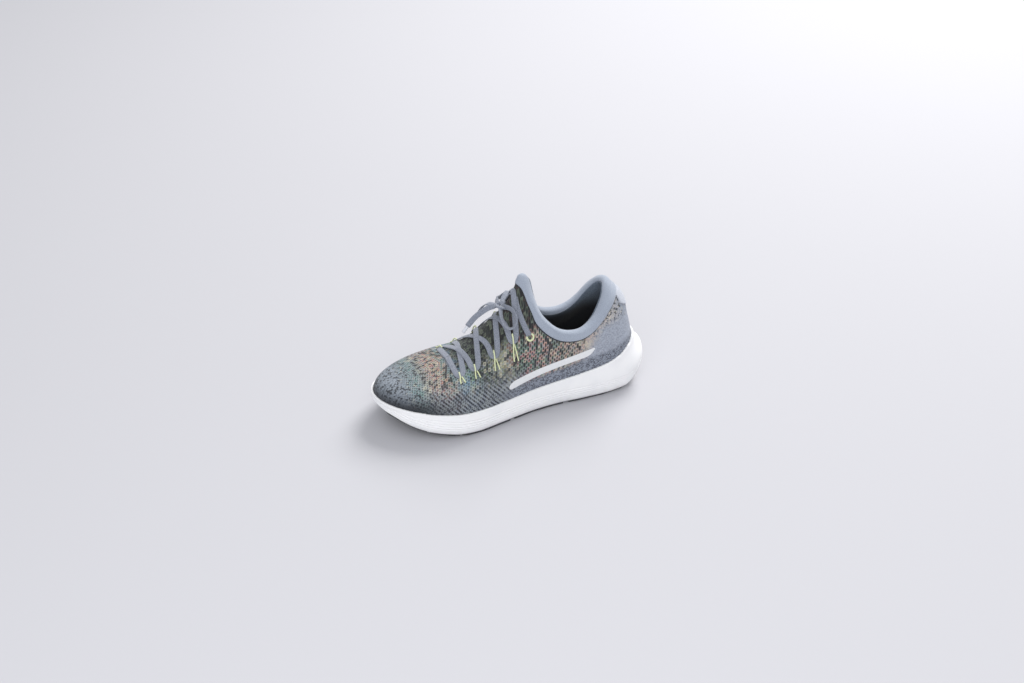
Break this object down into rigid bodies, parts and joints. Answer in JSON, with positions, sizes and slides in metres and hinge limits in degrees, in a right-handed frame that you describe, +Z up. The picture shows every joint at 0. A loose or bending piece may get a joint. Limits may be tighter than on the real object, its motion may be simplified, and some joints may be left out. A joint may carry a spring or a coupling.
{
  "type": "running shoe",
  "caption": "Low knit running shoe for a left foot, with a padded ankle collar, cable-loop lacing, a thick foam midsole and a forefoot that bends at the ball.",
  "frame": {"origin": "middle of the shoe's plan, on the ground under the sole", "axes": "+X towards the heel, -Y towards the lateral side, +Z up"},
  "size_m": [0.2791, 0.1058, 0.1375],
  "materials": {
    "knit": "matte",
    "lining": "matte",
    "rim": "matte",
    "wrap": "matte",
    "foam": "satin",
    "core": "matte",
    "tread": "matte",
    "board": "matte",
    "sock": "matte",
    "stiffener": "matte",
    "padding": "matte",
    "band": "satin",
    "cable": "satin",
    "lace": "matte",
    "tip": "gloss"
  },
  "bodies": {
    "rearfoot": {"midsole_carrier_rear": "foam", "midsole_core_rear": "core", "outsole_heel_lateral": "tread", "outsole_heel_medial": "tread", "outsole_midfoot": "tread", "outsole_ball": "tread", "strobel_board_rear": "board", "sockliner_rear": "sock", "knit_upper_rear": "knit", "knit_flex_zone": "knit", "heel_counter": "stiffener", "collar_foam": "padding", "collar_lining": "lining", "tongue_lining": "lining", "collar_rim": "rim", "heel_tab": "wrap", "side_band_lateral": "band", "side_band_medial": "band", "lace_cable_lateral_1": "cable", "lace_cable_lateral_2": "cable", "lace_cable_lateral_3": "cable", "lace_cable_lateral_4": "cable", "eyelet_lateral": "stiffener", "lace_cable_medial_1": "cable", "lace_cable_medial_2": "cable", "lace_cable_medial_3": "cable", "lace_cable_medial_4": "cable", "eyelet_medial": "stiffener", "lace_strand_a": "lace", "lace_strand_b": "lace", "lace_knot": "lace", "lace_loop_lateral": "lace", "lace_loop_medial": "lace", "lace_end_forward": "lace", "lace_end_medial": "lace", "aglet_forward": "tip", "aglet_medial": "tip"},
    "forefoot": {"midsole_carrier_fore": "foam", "midsole_core_fore": "core", "outsole_forefoot": "tread", "outsole_toe": "tread", "strobel_board_fore": "board", "sockliner_fore": "sock", "knit_upper_fore": "knit", "toe_puff": "stiffener"}
  },
  "joints": [
    {"name": "forefoot_flex", "type": "hinge", "parent": "rearfoot", "child": "forefoot", "pos_m": [-0.07, 0, 0.024], "axis": [0, 1, 0], "range_deg": [0, 35], "stiffness_Nm_per_rad": 6, "deforming": ["knit_flex_zone"]}
  ]
}
